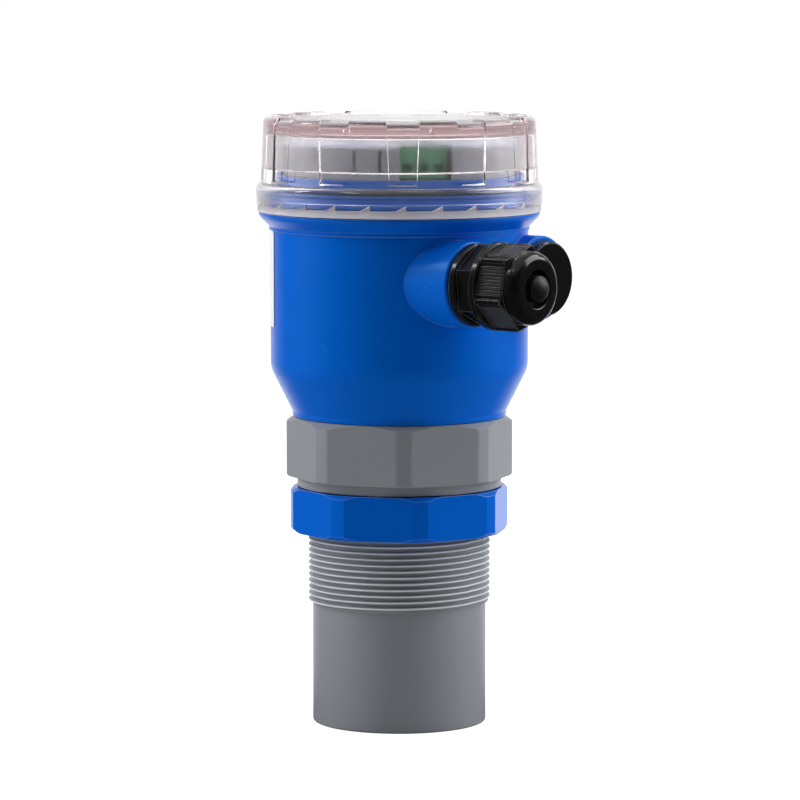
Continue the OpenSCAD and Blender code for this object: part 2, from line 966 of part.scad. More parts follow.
module main_board() {
    color(board_green)
    translate([0, 0, main_board_z])
        difference() {
            cylinder(r = main_board_r, h = board_t);
            translate([0, 0, -main_board_z - over])
                at_pillars(main_board_z)
                    cylinder(d = screw_d + 2 * run_fit, h = board_t + 2 * over);
        }
}

module board_screws() {
    color(steel)
    at_pillars(main_board_z - screw_head_t)
        difference() {
            union() {
                cylinder(d = screw_head_d, h = screw_head_t);
                cylinder(d = screw_d, h = screw_head_t + board_t + screw_bite);
            }
            translate([-screw_head_d, -screw_slot / 2, -screw_slot])
                cube([2 * screw_head_d, screw_slot, 2 * screw_slot]);
        }
}

module pulse_transformer() {
    color([0.25, 0.25, 0.27])
    translate([transformer_at.x, transformer_at.y, main_board_z - transformer_size.z])
        union() {
            translate([-transformer_size.x / 2, -transformer_size.y / 2, 0])
                cube(transformer_size);
            translate([0, 0, transformer_bobbin])
                rotate([90, 0, 0])
                    translate([0, (transformer_size.z - 2 * transformer_bobbin) / 2, 0])
                        cylinder(
                            d = transformer_size.z - 2 * transformer_bobbin,
                            h = transformer_size.y + 2 * transformer_bobbin, center = true
                        );
        }
}

module board_capacitors() {
    color([0.1, 0.12, 0.3])
    for (i = [0, 1])
        translate([capacitor_at.x, capacitor_at.y + (i - 0.5) * capacitor_pitch, 0])
            rotate_extrude() polygon([
                [0, main_board_z - capacitor_h],
                [capacitor_d / 2 - edge_cut, main_board_z - capacitor_h],
                [capacitor_d / 2, main_board_z - capacitor_h + edge_cut],
                [capacitor_d / 2, main_board_z],
                [0, main_board_z]
            ]);
}

module gland_body() {
    claw_z = gland_neck_z + gland_neck_h;
    color(black)
    at_entry(-1)
        difference() {
            union() {
                rotate_extrude() polygon([
                    [0, -entry_len],
                    [entry_r - run_fit - edge_cut, -entry_len],
                    [entry_r - run_fit, edge_cut - entry_len],
                    [entry_r - run_fit, seal_t],
                    [gland_flange_d / 2, seal_t],
                    [gland_flange_d / 2, gland_hex_z - edge_cut],
                    [gland_flange_d / 2 - edge_cut, gland_hex_z],
                    [gland_thread_r, gland_hex_z],
                    [gland_thread_r, claw_z],
                    [gland_bore_r + claw_t, claw_z],
                    [gland_bore_r + claw_t - edge_cut, claw_z + claw_h],
                    [0, claw_z + claw_h]
                ]);
                translate([0, 0, gland_hex_z])
                    rotate([0, 0, gland_hex_turn])
                        linear_extrude(gland_hex_h)
                            circle(r = gland_af / 2 / cos(30), $fn = 6);
            }
            translate([0, 0, insert_z - drop_fit])
                cylinder(r = gland_bore_r, h = claw_z + claw_h);
            translate([0, 0, -entry_len - over])
                cylinder(r = gland_bore_r - insert_wall_in, h = entry_len + insert_z + over);
            for (i = [0:claws / 2 - 1])
                rotate([0, 0, i * 360 / claws])
                    translate([-gland_flange_d / 2, -claw_slot / 2, claw_z])
                        cube([gland_flange_d, claw_slot, claw_h + over]);
        }
}

// Flat ring that seals an entry, in the recess of the boss's face
module entry_seal(side) {
    at_entry(side)
        translate([0, 0, run_fit - face_ring_t])
            difference() {
                cylinder(r = face_ring_r - drop_fit, h = seal_t + face_ring_t - 2 * run_fit);
                translate([0, 0, -over])
                    cylinder(r = entry_r, h = seal_t + face_ring_t + 2 * over);
            }
}

module gland_seal_ring() {
    color(rubber) entry_seal(-1);
}

module blank_plug_seal() {
    color(rubber) entry_seal(1);
}

module gland_insert() {
    insert_r = gland_bore_r - drop_fit;
    color(rubber)
    at_entry(-1)
        difference() {
            translate([0, 0, insert_z])
                rotate_extrude() polygon([
                    [0, 0],
                    [insert_r, 0],
                    [insert_r, insert_top_z - insert_z - dome_lip],
                    [insert_r - dome_lip, insert_top_z - insert_z],
                    [0, insert_top_z - insert_z]
                ]);
            translate([0, 0, insert_z - over])
                cylinder(r = stopper_r + run_fit, h = insert_top_z);
        }
}

module gland_stopper() {
    tip_z = dome_top_z + stopper_out;
    rise = tip_z - stopper_dome;
    ball_r = (pow(stopper_r, 2) + pow(stopper_dome, 2)) / (2 * stopper_dome);
    half_angle = asin(stopper_r / ball_r);
    color(rubber)
    at_entry(-1)
        rotate_extrude() polygon(concat(
            [[0, rise - stopper_len], [stopper_r, rise - stopper_len]],
            arc([0, tip_z - ball_r], ball_r, 90 - half_angle, 90)
        ));
}

module gland_nut() {
    side_w = 2 * grip_r * tan(30);
    rib_pitch = (side_w - 2 * bar_d) / grip_ribs;
    hole_r = dome_hole_d / 2;
    color(black)
    at_entry(-1)
        difference() {
            union() {
                translate([0, 0, gland_nut_z])
                    rotate_extrude() polygon(concat(
                        [[0, 0], [gland_nut_d / 2 - edge_cut, 0]],
                        [[gland_nut_d / 2, edge_cut], [gland_nut_d / 2, gland_base_t - edge_cut]],
                        [[gland_nut_d / 2 - edge_cut, gland_base_t], [0, gland_base_t]]
                    ));
                translate([0, 0, grip_z - edge_cut])
                    rotate([0, 0, grip_turn]) {
                        linear_extrude(grip_h + edge_cut)
                            circle(r = grip_r / cos(30), $fn = 6);
                        for (i = [0:5])
                            rotate([0, 0, i * 60]) {
                                translate([bar_path_r, 0, 0])
                                    cylinder(d = bar_d, h = grip_h, $fn = 24);
                                rotate([0, 0, 30])
                                    for (j = [0:grip_ribs - 1])
                                        translate([
                                            grip_r - rib_w,
                                            (j - (grip_ribs - 1) / 2) * rib_pitch - rib_w / 2,
                                            0
                                        ])
                                            cube([rib_w + rib_out, rib_w, grip_h]);
                            }
                    }
                rotate_extrude() polygon(concat(
                    [[0, grip_z], [dome_r, grip_z]],
                    arc([dome_r - dome_round, dome_top_z - dome_round], dome_round, 0, 90),
                    arc([hole_r + dome_lip, dome_top_z - dome_lip], dome_lip, 90, 180, 4),
                    [[0, dome_top_z - dome_lip]]
                ));
            }
            rotate_extrude() polygon([
                [0, gland_nut_z - over],
                [gland_thread_r + run_fit, gland_nut_z - over],
                [gland_thread_r + run_fit, dome_z + face_gap],
                [hole_r, dome_top_z - dome_wall],
                [hole_r, dome_top_z + over],
                [0, dome_top_z + over]
            ]);
        }
}

module blank_plug() {
    plug_z = seal_t;
    color(black)
    at_entry(1)
        difference() {
            rotate_extrude() polygon([
                [0, -entry_len],
                [entry_r - run_fit - edge_cut, -entry_len],
                [entry_r - run_fit, edge_cut - entry_len],
                [entry_r - run_fit, plug_z],
                [plug_d / 2, plug_z],
                [plug_d / 2, plug_z + plug_t - edge_cut],
                [plug_d / 2 - edge_cut, plug_z + plug_t],
                [0, plug_z + plug_t]
            ]);
            translate([0, 0, -entry_len - over])
                cylinder(r = entry_r - plug_wall, h = entry_len + over);
        }
}

transducer_body();
lock_nut();
matching_layer();
piezo_disc();
backing_foam();
temperature_probe();
potting();
transducer_leads();
neck_seal();
retaining_ring();
housing();
rating_label();
clear_cap();
cap_seal();
display_frame();
display_board();
lcd_backlight();
lcd_glass();
tact_switches();
set_key();
down_key();
up_key();
enter_key();
terminal_block();
terminal_screws();
board_pillars();
main_board();
board_screws();
pulse_transformer();
board_capacitors();
gland_body();
gland_seal_ring();
gland_insert();
gland_stopper();
gland_nut();
blank_plug();
blank_plug_seal();
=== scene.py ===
"""Looks of an ultrasonic level sensor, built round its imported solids.

Metres, in the frame of the solids: the origin is the centre of the sensing face, +Z points up,
and both cable entries point along +X.
"""
import json
import math

import bmesh
import bpy
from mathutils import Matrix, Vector


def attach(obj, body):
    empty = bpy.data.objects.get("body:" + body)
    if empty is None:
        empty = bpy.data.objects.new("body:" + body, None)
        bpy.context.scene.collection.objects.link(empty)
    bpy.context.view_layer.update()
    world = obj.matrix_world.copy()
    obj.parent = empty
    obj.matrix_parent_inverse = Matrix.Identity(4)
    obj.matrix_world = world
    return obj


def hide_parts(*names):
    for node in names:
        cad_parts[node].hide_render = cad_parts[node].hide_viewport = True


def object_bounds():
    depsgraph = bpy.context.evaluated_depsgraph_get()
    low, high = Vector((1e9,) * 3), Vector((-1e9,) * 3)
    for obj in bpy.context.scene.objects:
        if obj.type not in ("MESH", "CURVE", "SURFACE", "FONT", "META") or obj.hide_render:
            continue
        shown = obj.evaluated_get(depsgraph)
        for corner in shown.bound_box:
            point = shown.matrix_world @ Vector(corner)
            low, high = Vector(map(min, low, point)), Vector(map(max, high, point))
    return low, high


MM = 0.001
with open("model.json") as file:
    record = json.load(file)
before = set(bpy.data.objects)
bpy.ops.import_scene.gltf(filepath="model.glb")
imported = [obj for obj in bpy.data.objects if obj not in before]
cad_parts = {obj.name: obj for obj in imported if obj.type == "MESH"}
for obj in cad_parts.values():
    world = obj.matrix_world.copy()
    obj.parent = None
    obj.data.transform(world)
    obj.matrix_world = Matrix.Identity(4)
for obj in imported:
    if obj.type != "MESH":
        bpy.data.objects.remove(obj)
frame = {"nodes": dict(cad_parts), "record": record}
cad_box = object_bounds()
nodes = frame["nodes"]

# Camera, as the photograph was taken
CAMERA_AZIMUTH = math.radians(40)
CAMERA_PITCH = math.radians(6.04)
CAMERA_AWAY = 1444.5 * MM
CAMERA_HEIGHT = 258.2 * MM
FOCAL_PIXELS = 4454
FRAME_PIXELS = 800
AXIS_PIXEL = 399.3
SENSOR_WIDTH = 36

# Sensing tube, as in the solids
TUBE_R = 28.3 * MM
TUBE_EDGE = 0.8 * MM
BORE_R = 25.1 * MM
THREAD_R = 29.75 * MM
THREAD_ROOT_R = 28.55 * MM
THREAD_Z = 39.2 * MM
THREAD_PITCH = 2 * MM
CREST_RELIEF = 0.35 * MM
RELIEF_Z = 62.8 * MM
COLLAR_R = 33.3 * MM
COLLAR_Z = 77.8 * MM
OCTAGON_Z = 81.0 * MM
OCTAGON_FLAT_R = 34.9 * MM
OCTAGON_CORNER_R = 36.85 * MM
OCTAGON_FOOT_CUT = 0.5 * MM
OCTAGON_TOP_CUT = 1.75 * MM
OCTAGON_TOP_IN = 2.4 * MM
OCTAGON_SIDES = 8
OCTAGON_STEP = 2 * math.pi / OCTAGON_SIDES
OCTAGON_TURN = math.radians(19.8)
SEAT_Z = 100.5 * MM
SPIGOT_R = 27.5 * MM
SPIGOT_TOP_Z = 111.0 * MM

# Clear cap, as in the solids
CAP_Z = 167.3 * MM
CAP_TOP_Z = 198.0 * MM
CAP_BAND_Z = 169.6 * MM
CAP_IN_R = 41.6 * MM
CAP_WINDOW_R = 14.0 * MM
CAP_STEP = 0.8 * MM
CAP_STEP_Z = 181.4 * MM
CAP_PLATE_Z = 192.2 * MM
CAP_ROUND = 2.2 * MM
CAP_DRAFT = 0.8 * MM
CAP_THREAD_R = 43.5 * MM
CAP_THREAD_Z = 171.7 * MM
CAP_SHOULDER_Z = 176.5 * MM
CAP_SKIRT_IN_R = 44.6 * MM
SKIRT_R = 46.5 * MM
SKIRT_FOOT_R = 46.0 * MM
SKIRT_FOOT_Z = 169.7 * MM
SHOULDER_ROUND = 1.7 * MM
WALL_FOOT_R = 45.1 * MM
WALL_FOOT_Z = 176.3 * MM
LANDS = 12
LAND_TURN = math.radians(11.5)
LAND_H = 0.8 * MM
LAND_IN_R = 36.3 * MM
GAP_FOOT_Z = 177.5 * MM
GAP_HALF = 5.22 * MM
GAP_FOOT_HALF = 4.38 * MM
TEETH = 24
TOOTH_TURN = math.radians(12.8)
TOOTH_R = 43.7 * MM
TOOTH_T = 0.8 * MM
TOOTH_H = 1.4 * MM
TOOTH_RAMP = 3.4 * MM

# Film on the display's frame, with a painted reflection of the bright ceiling on it, down to this height
FRAME_FILM_GLARE_Z = 189.2 * MM
FILM_GLARE_EDGE = 0.2 * MM


def srgb(red, green, blue, alpha=1.0):
    """A colour as it looks on screen, from 0 to 255, in the shader's linear values."""
    def linear(value):
        value /= 255
        return value / 12.92 if value <= 0.04045 else ((value + 0.055) / 1.055) ** 2.4
    return (linear(red), linear(green), linear(blue), alpha)


def beside_camera(azimuth, elevation, distance):
    """A point round the object: azimuth from the camera's side to its right, in degrees."""
    turn = CAMERA_AZIMUTH + math.radians(azimuth)
    lift = math.radians(elevation)
    flat = distance * math.cos(lift)
    return Vector((flat * math.sin(turn), -flat * math.cos(turn), distance * math.sin(lift)))


# Shader building blocks

def add(tree, kind, **settings):
    """A new shader node with its settings, such as operation or blend type."""
    node = tree.nodes.new("ShaderNode" + kind)
    for name, value in settings.items():
        setattr(node, name, value)
    return node


def feed(tree, node, **sources):
    """Sets inputs by name, underscores for spaces: a socket is linked, and a number or colour is set."""
    for name, source in sources.items():
        socket = node.inputs[name.replace("_", " ")]
        if isinstance(source, bpy.types.NodeSocket):
            tree.links.new(source, socket)
        else:
            socket.default_value = source
    return node


def math_node(tree, operation, *values, clamp=False):
    """The result of a sum on sockets or numbers."""
    node = add(tree, "Math", operation=operation, use_clamp=clamp)
    for socket, value in zip(node.inputs, values):
        if isinstance(value, bpy.types.NodeSocket):
            tree.links.new(value, socket)
        else:
            socket.default_value = value
    return node.outputs[0]


def mix_colors(tree, factor, first, second, blend="MIX"):
    """A mix of two colours, given as sockets or values."""
    node = add(tree, "Mix", data_type="RGBA", blend_type=blend)
    for index, source in ((0, factor), (6, first), (7, second)):
        if isinstance(source, bpy.types.NodeSocket):
            tree.links.new(source, node.inputs[index])
        else:
            node.inputs[index].default_value = source
    return node.outputs[2]


def inverse(tree, mask):
    """What a mask leaves out."""
    return math_node(tree, "SUBTRACT", 1.0, mask)


def ramp(tree, value, low, high, smooth=True):
    """0 below low and 1 above high."""
    node = add(tree, "MapRange", interpolation_type="SMOOTHSTEP" if smooth else "LINEAR")
    feed(tree, node, Value=value, From_Min=low, From_Max=high)
    return node.outputs[0]


def new_group(name, inputs, outputs):
    """An empty shader group with its sockets, and its input and output nodes."""
    tree = bpy.data.node_groups.new(name, "ShaderNodeTree")
    for label, kind, value in inputs:
        tree.interface.new_socket(label, in_out="INPUT", socket_type=kind).default_value = value
    for label, kind in outputs:
        tree.interface.new_socket(label, in_out="OUTPUT", socket_type=kind)
    return tree, tree.nodes.new("NodeGroupInput"), tree.nodes.new("NodeGroupOutput")


FLOAT = "NodeSocketFloat"
COLOR = "NodeSocketColor"
VECTOR = "NodeSocketVector"

# How far a surface bends where an edge shows
EDGE_FROM = 0.01
EDGE_TO = 0.16

# Scratches: width, share of the surface and bend
SCRATCH_WIDTH = 0.012
SCRATCH_FROM = 0.56
SCRATCH_TO = 0.66
SCRATCH_BEND = (0.01, 0.01, 0.03)

# Studio in reflections
BEHIND_FROM = 0.5
BEHIND_TO = 0.98
BEHIND_FALL = 1.5
CEILING_FROM = 0.55
CEILING_TO = 0.85
CEILING_GLOW = 0.7


def moulded_skin_group():
    """Cloudy tone, uneven gloss and a fine skin, as on a moulded piece."""
    tree, given, made = new_group(
        "Moulded skin",
        [("Color", COLOR, (0.5, 0.5, 0.5, 1)), ("Tone spread", FLOAT, 0.05), ("Cloud scale", FLOAT, 30),
         ("Roughness", FLOAT, 0.3), ("Gloss spread", FLOAT, 0.08), ("Skin scale", FLOAT, 900)],
        [("Color", COLOR), ("Roughness", FLOAT), ("Height", FLOAT)],
    )
    place = add(tree, "TexCoord").outputs["Object"]
    cloud = add(tree, "TexNoise")
    feed(tree, cloud, Vector=place, Scale=given.outputs["Cloud scale"], Detail=3.0, Roughness=0.55)
    skin = add(tree, "TexNoise")
    feed(tree, skin, Vector=place, Scale=given.outputs["Skin scale"], Detail=2.0, Roughness=0.5)
    swing = math_node(tree, "SUBTRACT", cloud.outputs[0], 0.5)
    tone = math_node(tree, "MULTIPLY_ADD", swing, given.outputs["Tone spread"], 1.0)
    scale = add(tree, "VectorMath", operation="SCALE")
    tree.links.new(given.outputs["Color"], scale.inputs[0])
    tree.links.new(tone, scale.inputs["Scale"])
    gloss_swing = math_node(tree, "ADD", swing, math_node(tree, "SUBTRACT", skin.outputs[0], 0.5))
    spread = given.outputs["Gloss spread"]
    rough = math_node(tree, "MULTIPLY_ADD", gloss_swing, spread, given.outputs["Roughness"], clamp=True)
    feed(tree, made, Color=scale.outputs[0], Roughness=rough, Height=skin.outputs[0])
    return tree


def soft_edges_group():
    """Edges rounded by a small radius, with a mask of where they are."""
    tree, given, made = new_group(
        "Soft edges", [("Radius", FLOAT, 0.0003)], [("Normal", VECTOR), ("Edge", FLOAT)]
    )
    bevel = add(tree, "Bevel", samples=6)
    feed(tree, bevel, Radius=given.outputs["Radius"])
    facing = add(tree, "NewGeometry")
    product = add(tree, "VectorMath", operation="DOT_PRODUCT")
    tree.links.new(bevel.outputs[0], product.inputs[0])
    tree.links.new(facing.outputs["Normal"], product.inputs[1])
    bent = inverse(tree, product.outputs["Value"])
    feed(tree, made, Normal=bevel.outputs[0], Edge=ramp(tree, bent, EDGE_FROM, EDGE_TO))
    return tree


def handling_marks_group():
    """Faint fine scratches, sparse and short, from handling."""
    tree, given, made = new_group(
        "Handling marks", [("Scale", FLOAT, 60), ("Amount", FLOAT, 0.5)], [("Mask", FLOAT)]
    )
    place = add(tree, "TexCoord").outputs["Object"]
    bend = add(tree, "TexNoise")
    feed(tree, bend, Vector=place, Scale=given.outputs["Scale"], Detail=1.0)
    warped = add(tree, "VectorMath", operation="MULTIPLY_ADD")
    tree.links.new(bend.outputs["Color"], warped.inputs[0])
    warped.inputs[1].default_value = SCRATCH_BEND
    tree.links.new(place, warped.inputs[2])
    cells = add(tree, "TexVoronoi", feature="DISTANCE_TO_EDGE")
    feed(tree, cells, Vector=warped.outputs[0], Scale=given.outputs["Scale"])
    line = inverse(tree, ramp(tree, cells.outputs["Distance"], 0.0, SCRATCH_WIDTH))
    sparse = add(tree, "TexNoise")
    feed(tree, sparse, Vector=place, Scale=given.outputs["Scale"], Detail=2.0)
    shown = math_node(tree, "MULTIPLY", line, ramp(tree, sparse.outputs[0], SCRATCH_FROM, SCRATCH_TO))
    feed(tree, made, Mask=math_node(tree, "MULTIPLY", shown, given.outputs["Amount"]))
    return tree


def studio_glow_group():
    """Brightness of the studio in a direction: dark round the camera, bright far behind and overhead."""
    tree, given, made = new_group("Studio glow", [("Direction", VECTOR, (0, 0, 1))], [("Glow", FLOAT)])
    along = add(tree, "VectorMath", operation="NORMALIZE")
    tree.links.new(given.outputs["Direction"], along.inputs[0])
    toward = add(tree, "VectorMath", operation="DOT_PRODUCT")
    tree.links.new(along.outputs[0], toward.inputs[0])
    toward.inputs[1].default_value = beside_camera(0, 0, 1)
    away = math_node(tree, "MULTIPLY", toward.outputs["Value"], -1.0)
    behind = math_node(tree, "POWER", ramp(tree, away, BEHIND_FROM, BEHIND_TO, smooth=False), BEHIND_FALL)
    split = add(tree, "SeparateXYZ")
    tree.links.new(along.outputs[0], split.inputs[0])
    overhead = ramp(tree, split.outputs[2], CEILING_FROM, CEILING_TO)
    ceiling = math_node(tree, "MULTIPLY", overhead, CEILING_GLOW)
    feed(tree, made, Glow=math_node(tree, "MAXIMUM", behind, ceiling))
    return tree


MOULDED_SKIN = moulded_skin_group()
SOFT_EDGES = soft_edges_group()
HANDLING_MARKS = handling_marks_group()
STUDIO_GLOW = studio_glow_group()


def place_group(tree, group, **sources):
    """One use of a shader group, with its own values."""
    node = add(tree, "Group", node_tree=group)
    return feed(tree, node, **sources).outputs


def new_material(name):
    """An empty material, its node tree and its shader."""
    material = bpy.data.materials.new(name)
    material.use_nodes = True
    tree = material.node_tree
    tree.nodes.clear()
    shader = add(tree, "BsdfPrincipled")
    output = add(tree, "OutputMaterial")
    tree.links.new(shader.outputs[0], output.inputs["Surface"])
    return material, tree, shader


# Moulded surfaces
# Near-white colour for the painted highlight along the edges of moulded plastics
EDGE_HIGHLIGHT_PAINT = srgb(235, 238, 242)
SKIN_DEPTH = 0.2 * MM
SCRATCH_ROUGHNESS = 0.25
BLUE_MIRROR = (0.12, 0.6, 1.0, 1)

# Painted highlight on the thread's crests, as depths below the crest, and the room left under the collar
CREST_HIGHLIGHT_FROM = 0.35 * MM
CREST_HIGHLIGHT_TO = 0.1 * MM
COLLAR_CLEAR = 1 * MM

# Haze on the clear cap, and its tint
HAZE_EDGE = 0.2 * MM
HAZE_CLEAR = 0.3 * MM
INNER_HAZE = 0.08
UPPER_HAZE = 0.27
SKIRT_HAZE = 0.22
FOOT_HAZE = 0.35
CAP_PINK = (0.31, 0.0, 0.03, 1)
CAP_DEPTH = 12.0


def plastic(name, color, roughness, tone=0.06, gloss=0.08, skin=900, bump=0.02, edge=0.25, painted_edge_light=0.25,
            marks=0.4, ior=1.49, cloud=30, mirror_tint=(1, 1, 1, 1)):
    """Moulded plastic or rubber: cloudy tone, soft edges with a painted highlight along them, and handling
    marks.
    """
    material, tree, shader = new_material(name)
    surface = place_group(tree, MOULDED_SKIN, Color=color, Tone_spread=tone, Cloud_scale=cloud,
                          Roughness=roughness, Gloss_spread=gloss, Skin_scale=skin)
    edges = place_group(tree, SOFT_EDGES, Radius=edge * MM)
    scratches = place_group(tree, HANDLING_MARKS, Amount=marks)
    # Painted highlight: a pale colour mixed in along the edges, by the edge mask
    lit = math_node(tree, "MULTIPLY", edges["Edge"], painted_edge_light)
    pale = mix_colors(tree, lit, surface["Color"], EDGE_HIGHLIGHT_PAINT)
    scratched = math_node(tree, "MULTIPLY", scratches["Mask"], SCRATCH_ROUGHNESS)
    rough = math_node(tree, "ADD", surface["Roughness"], scratched, clamp=True)
    bumps = add(tree, "Bump")
    feed(tree, bumps, Strength=bump, Distance=SKIN_DEPTH, Height=surface["Height"], Normal=edges["Normal"])
    feed(tree, shader, Base_Color=pale, Roughness=rough, IOR=ior, Specular_Tint=mirror_tint,
         Normal=bumps.outputs[0])
    return material


def metal(name, color, roughness, brushed=1500):
    """Plated or turned metal with fine brushing."""
    material, tree, shader = new_material(name)
    surface = place_group(tree, MOULDED_SKIN, Color=color, Tone_spread=0.15, Cloud_scale=120,
                          Roughness=roughness, Gloss_spread=0.2, Skin_scale=brushed)
    edges = place_group(tree, SOFT_EDGES, Radius=0.12 * MM)
    feed(tree, shader, Base_Color=surface["Color"], Roughness=surface["Roughness"], Normal=edges["Normal"],
         Metallic=1.0)
    return material


def place_on_part(tree):
    """The three coordinates of a point on the part."""
    split = add(tree, "SeparateXYZ")
    tree.links.new(add(tree, "TexCoord").outputs["Object"], split.inputs[0])
    return split.outputs


def reach_and_height(tree):
    """Distance from the part's axis, and height."""
    x, y, z = place_on_part(tree)
    square = math_node(tree, "ADD", math_node(tree, "MULTIPLY", x, x), math_node(tree, "MULTIPLY", y, y))
    return math_node(tree, "SQRT", square), z


def laid_over(material, mask, color):
    """A finish with a second colour over it where a mask says."""
    tree = material.node_tree
    shader = next(node for node in tree.nodes if node.type == "BSDF_PRINCIPLED")
    first = shader.inputs["Base Color"].links[0].from_socket
    feed(tree, shader, Base_Color=mix_colors(tree, mask, first, color))
    return material


def threaded_plastic(name, color, crest_highlight_color, roughness):
    """Moulded plastic with a painted highlight on the crests of its thread."""
    material = plastic(name, color, roughness, tone=0.08, edge=0.3, marks=0.1)
    tree = material.node_tree
    reach, z = reach_and_height(tree)
    # Painted highlight: a paler colour on the crests, below the collar
    crest = ramp(tree, reach, THREAD_R - CREST_HIGHLIGHT_FROM, THREAD_R - CREST_HIGHLIGHT_TO)
    threaded = math_node(tree, "LESS_THAN", z, COLLAR_Z - COLLAR_CLEAR)
    return laid_over(material, math_node(tree, "MULTIPLY", crest, threaded), crest_highlight_color)


def film_glare_plastic(name, color, film_glare_color, roughness):
    """Moulded plastic with a film over its top and the rim of it, painted pale bluish there as a reflection
    of the bright ceiling.
    """
    material = plastic(name, color, roughness)
    tree = material.node_tree
    # Painted reflection: a pale bluish colour over the film on the top and the rim
    film = ramp(tree, place_on_part(tree)[2], FRAME_FILM_GLARE_Z - FILM_GLARE_EDGE, FRAME_FILM_GLARE_Z)
    return laid_over(material, film, film_glare_color)


def clear_plastic():
    """Clear moulded plastic, hazy on its inner walls and its lower band, pink through its depth."""
    material, tree, shader = new_material("clear_plastic")
    reach, z = reach_and_height(tree)
    outside = ramp(tree, reach, CAP_IN_R + HAZE_CLEAR, CAP_IN_R + HAZE_CLEAR + HAZE_EDGE)
    window = inverse(tree, ramp(tree, reach, CAP_WINDOW_R, LAND_IN_R))
    inner = inverse(tree, math_node(tree, "MAXIMUM", outside, window))
    high = ramp(tree, z, CAP_STEP_Z - HAZE_EDGE / 2, CAP_STEP_Z)
    low = inverse(tree, ramp(tree, z, CAP_SHOULDER_Z, CAP_SHOULDER_Z + HAZE_EDGE))
    foot = inverse(tree, ramp(tree, z, CAP_BAND_Z, CAP_BAND_Z + HAZE_EDGE))
    skin = ramp(tree, reach, CAP_SKIRT_IN_R, CAP_SKIRT_IN_R + HAZE_EDGE)
    skirt = math_node(tree, "MULTIPLY", math_node(tree, "SUBTRACT", outside, skin), low)
    inner_haze = math_node(tree, "MULTIPLY_ADD", high, UPPER_HAZE, INNER_HAZE)
    haze = math_node(tree, "MULTIPLY", skirt, SKIRT_HAZE)
    haze = math_node(tree, "MULTIPLY_ADD", foot, FOOT_HAZE, haze)
    haze = math_node(tree, "MULTIPLY_ADD", inner, inner_haze, haze)
    surface = place_group(tree, MOULDED_SKIN, Color=srgb(250, 248, 249), Tone_spread=0.01, Cloud_scale=40,
                          Roughness=0.03, Gloss_spread=0.03, Skin_scale=700)
    rough = math_node(tree, "ADD", surface["Roughness"], haze, clamp=True)
    edges = place_group(tree, SOFT_EDGES, Radius=0.15 * MM)
    feed(tree, shader, Base_Color=surface["Color"], Roughness=rough, IOR=1.49, Transmission_Weight=1.0,
         Normal=edges["Normal"])
    depth = add(tree, "VolumeAbsorption")
    feed(tree, depth, Color=CAP_PINK, Density=CAP_DEPTH)
    output = next(node for node in tree.nodes if node.type == "OUTPUT_MATERIAL")
    tree.links.new(depth.outputs[0], output.inputs["Volume"])
    return material


def display_glass():
    """Grey-green glass of the display, unlit."""
    material, tree, shader = new_material("display_glass")
    surface = place_group(tree, MOULDED_SKIN, Color=srgb(128, 140, 120), Tone_spread=0.08, Cloud_scale=60,
                          Roughness=0.08, Gloss_spread=0.04, Skin_scale=900)
    feed(tree, shader, Base_Color=surface["Color"], Roughness=surface["Roughness"], IOR=1.52,
         Coat_Weight=0.6)
    return material


def make_materials():
    """The finish of each material slot, of the nodes that differ from it, and of the thread and the saw."""
    return {
        "lock_nut": plastic("nut_blue", srgb(0, 97, 209), 0.2, tone=0.03, gloss=0.04, bump=0.008,
                            edge=0.35, painted_edge_light=0.5, marks=0.1, ior=1.4, mirror_tint=BLUE_MIRROR),
        "housing_blue": plastic("housing_blue", srgb(0, 98, 209), 0.26, tone=0.03, gloss=0.04, bump=0.008,
                                edge=0.4, marks=0.1, ior=1.38, mirror_tint=BLUE_MIRROR),
        "tube_grey": plastic("tube_grey", srgb(140, 144, 150), 0.38, tone=0.08, edge=0.3, marks=0.1),
        # The paler second colour is the painted highlight on the thread's crests
        "tube_threaded": threaded_plastic("tube_threaded", srgb(140, 144, 150), srgb(222, 224, 226), 0.38),
        "face_grey": plastic("face_grey", srgb(105, 108, 112), 0.42),
        "clear": clear_plastic(),
        "cap_frosted": plastic("cap_frosted", srgb(250, 252, 255), 0.5, tone=0.02, painted_edge_light=0, marks=0),
        "label_white": plastic("label_white", srgb(240, 240, 240), 0.5, tone=0.02, skin=2500, painted_edge_light=0),
        "gland_black": plastic("gland_black", srgb(21, 21, 22), 0.15, tone=0.2, skin=1500, bump=0.02,
                               painted_edge_light=0.3, ior=1.42),
        "rubber_black": plastic("rubber_black", srgb(24, 24, 26), 0.5, tone=0.15),
        # The pale bluish top is a painted reflection of the ceiling off the frame's film
        "frame_grey": film_glare_plastic("frame_grey", srgb(158, 162, 167), srgb(218, 229, 246), 0.45),
        "board": plastic("board", srgb(26, 92, 58), 0.35, tone=0.3, cloud=200),
        "lcd": display_glass(),
        "backlight": plastic("backlight", srgb(225, 230, 225), 0.4),
        "key": plastic("key", srgb(70, 80, 95), 0.55),
        "terminal_green": plastic("terminal_green", srgb(88, 155, 115), 0.35),
        "steel": metal("steel", srgb(190, 192, 196), 0.3),
        "brass": metal("brass", srgb(205, 170, 95), 0.3),
        "switch_black": plastic("switch_black", srgb(38, 38, 40), 0.45),
        "core": plastic("core", srgb(75, 72, 60), 0.6, tone=0.3),
        "can": metal("can", srgb(70, 80, 120), 0.35),
        "piezo": plastic("piezo", srgb(215, 205, 185), 0.6),
        "foam": plastic("foam", srgb(60, 60, 60), 0.9, skin=2000, bump=0.4),
        "resin": plastic("resin", srgb(40, 40, 42), 0.2),
        "lead": plastic("lead", srgb(180, 40, 36), 0.45),
    }


# Sensing tube with its helical thread

COLUMNS = 192
THREAD_ROW = THREAD_PITCH / 14
THREAD_FRONT_CREST_Z = 40.75 * MM
THREAD_CREST = 0.07
THREAD_ROOT = 0.38
PARTING_STEP = 0.1 * MM
RUN_OUT_SLOPE = 1.6
TUBE_EDGE_STEPS = 5


